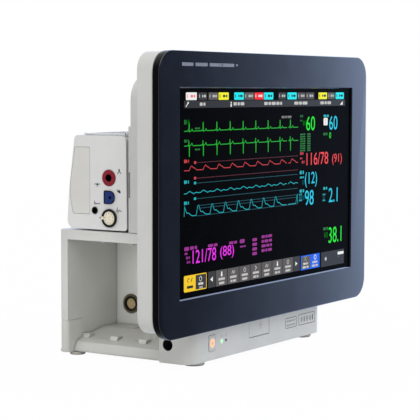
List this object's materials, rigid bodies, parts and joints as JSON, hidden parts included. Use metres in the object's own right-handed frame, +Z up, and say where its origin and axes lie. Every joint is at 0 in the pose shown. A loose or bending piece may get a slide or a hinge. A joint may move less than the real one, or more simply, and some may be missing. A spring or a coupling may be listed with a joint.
{
  "type": "patient monitor",
  "caption": "Bedside patient monitor with a wide touch display, a plug-in bay open at its left side, and a docked measurement module that slides out.",
  "frame": {"origin": "on the floor under the middle of the monitor: halfway across the display, halfway through the overall depth, at the bottom of the feet", "axes": "+Z up; the screen faces -Y; +X is to the right of someone facing the screen"},
  "size_m": [0.426, 0.182, 0.3206],
  "materials": {
    "navy_paint": "satin",
    "gloss_black": "glossy",
    "screen_glass": "glossy",
    "lcd_frame": "satin",
    "chassis_steel": "satin",
    "lamp_lens": "satin",
    "circuit_board": "satin",
    "housing_grey": "fine matt texture",
    "base_grey": "fine matt texture",
    "module_grey": "fine matt texture",
    "door_grey": "fine matt texture",
    "key_grey": "matt",
    "black_plastic": "satin",
    "heatsink_aluminium": "satin",
    "cable_black": "matt",
    "supply_cage": "satin",
    "speaker_paper": "matt",
    "foot_rubber": "matt",
    "socket_ring": "satin",
    "panel_steel": "satin",
    "stud_brass": "satin",
    "power_led": "glossy",
    "standby_led": "glossy",
    "mount_steel": "satin",
    "pump_steel": "satin",
    "battery_wrap": "satin",
    "module_glass": "glossy",
    "pressure_socket_red": "satin",
    "oxygen_socket_blue": "satin",
    "ecg_socket_black": "satin"
  },
  "bodies": {
    "root": {"front_bezel": "navy_paint", "trim_band": "gloss_black", "touch_glass": "screen_glass", "lcd_panel": "lcd_frame", "panel_chassis": "chassis_steel", "alarm_light_guide": "lamp_lens", "alarm_board": "circuit_board", "display_shell": "housing_grey", "rear_housing": "housing_grey", "main_board": "circuit_board", "heatsink": "heatsink_aluminium", "display_cable": "cable_black", "power_supply": "supply_cage", "interface_board": "circuit_board", "rack_backplane": "circuit_board", "speaker": "speaker_paper", "base_housing": "base_grey", "base_tray": "base_grey", "foot_front_left": "foot_rubber", "foot_front_right": "foot_rubber", "foot_rear_left": "foot_rubber", "foot_rear_right": "foot_rubber", "rack_socket_front": "socket_ring", "rack_socket_middle": "socket_ring", "rack_socket_rear": "socket_ring", "side_cover": "base_grey", "connector_panel": "panel_steel", "ac_inlet": "black_plastic", "ground_stud": "stud_brass", "network_jack": "black_plastic", "remote_jack": "black_plastic", "service_socket": "black_plastic", "power_led": "power_led", "standby_led": "standby_led", "mounting_plate": "mount_steel", "plate_screw_1": "mount_steel", "plate_screw_2": "mount_steel", "plate_screw_3": "mount_steel", "plate_screw_4": "mount_steel", "dock_tower": "housing_grey", "dock_bracket": "housing_grey", "dock_connector": "black_plastic"},
    "measurement_module": {"module_case": "module_grey", "module_back_plate": "module_grey", "module_board": "circuit_board", "cuff_pump": "pump_steel", "module_battery": "battery_wrap", "module_screen": "module_glass", "pressure_socket": "pressure_socket_red", "oxygen_socket": "oxygen_socket_blue", "ecg_socket": "ecg_socket_black", "temperature_socket": "ecg_socket_black"},
    "power_button": {"power_button": "base_grey"},
    "front_flap": {"front_flap": "base_grey"},
    "dock_release_button": {"dock_release_button": "key_grey"},
    "module_key_left": {"module_key_left": "key_grey"},
    "module_key_middle": {"module_key_middle": "key_grey"},
    "module_key_right": {"module_key_right": "key_grey"},
    "battery_door": {"battery_door": "door_grey"},
    "module_handle": {"module_handle": "module_grey"}
  },
  "joints": [
    {"name": "power_button_press", "type": "slide", "parent": "root", "child": "power_button", "axis": [0, 1, 0], "range_m": [0, 0.0012]},
    {"name": "front_flap_hinge", "type": "hinge", "parent": "root", "child": "front_flap", "pos_m": [-0.00265, -0.0746, 0.02], "axis": [1, 0, 0], "range_deg": [0, 100]},
    {"name": "dock_release_press", "type": "slide", "parent": "root", "child": "dock_release_button", "axis": [0, 0, -1], "range_m": [0, 0.002]},
    {"name": "module_slide", "type": "slide", "parent": "root", "child": "measurement_module", "axis": [-1, 0, 0], "range_m": [0, 0.19]},
    {"name": "battery_door_hinge", "type": "hinge", "parent": "measurement_module", "child": "battery_door", "pos_m": [-0.1348, 0.064, 0.1552], "axis": [0, -1, 0], "range_deg": [0, 100]},
    {"name": "module_handle_hinge", "type": "hinge", "parent": "measurement_module", "child": "module_handle", "pos_m": [-0.0435, 0.0085, 0.237], "axis": [1, 0, 0], "range_deg": [0, 90]},
    {"name": "module_key_left_press", "type": "slide", "parent": "measurement_module", "child": "module_key_left", "axis": [0, -0.9973, -0.073], "range_m": [0, 0.0008]},
    {"name": "module_key_middle_press", "type": "slide", "parent": "measurement_module", "child": "module_key_middle", "axis": [0, -0.9973, -0.073], "range_m": [0, 0.0008]},
    {"name": "module_key_right_press", "type": "slide", "parent": "measurement_module", "child": "module_key_right", "axis": [0, -0.9973, -0.073], "range_m": [0, 0.0008]}
  ]
}
